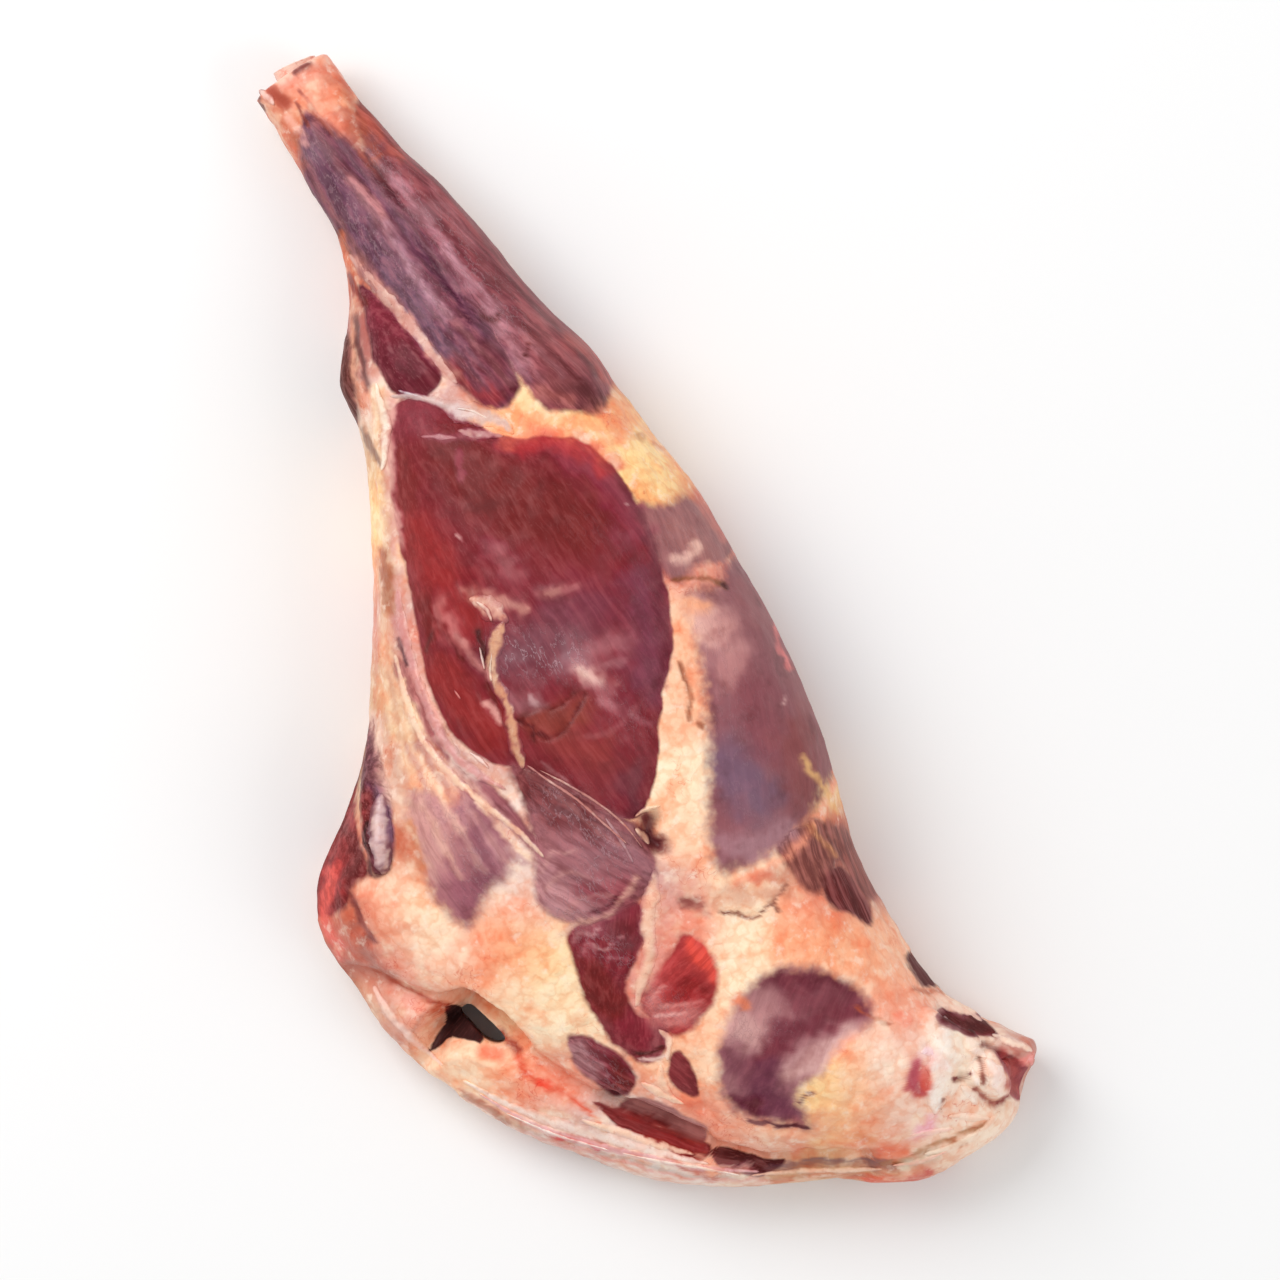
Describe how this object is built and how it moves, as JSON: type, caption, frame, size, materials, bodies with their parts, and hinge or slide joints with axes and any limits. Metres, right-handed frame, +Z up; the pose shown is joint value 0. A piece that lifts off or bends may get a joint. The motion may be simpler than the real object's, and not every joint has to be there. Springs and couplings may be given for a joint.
{
  "type": "leg of mutton",
  "caption": "Raw leg of mutton on the bone, shank to rump, lying on its inner side with lean muscle and fat on the outer side",
  "frame": {"origin": "centre of the leg's outline on the surface that it lies on", "axes": "+Y along the leg from the rump to the hock, +Z up towards the outer side, +X towards the front of the thigh"},
  "size_m": [0.257, 0.5399, 0.1048],
  "materials": {
    "meat": "moist raw meat and fat",
    "bone": "matt fresh bone",
    "gristle": "smooth moist gristle"
  },
  "bodies": {
    "root": {"leg_meat": "meat", "shin_bone": "bone", "hip_tip": "gristle"}
  },
  "joints": []
}
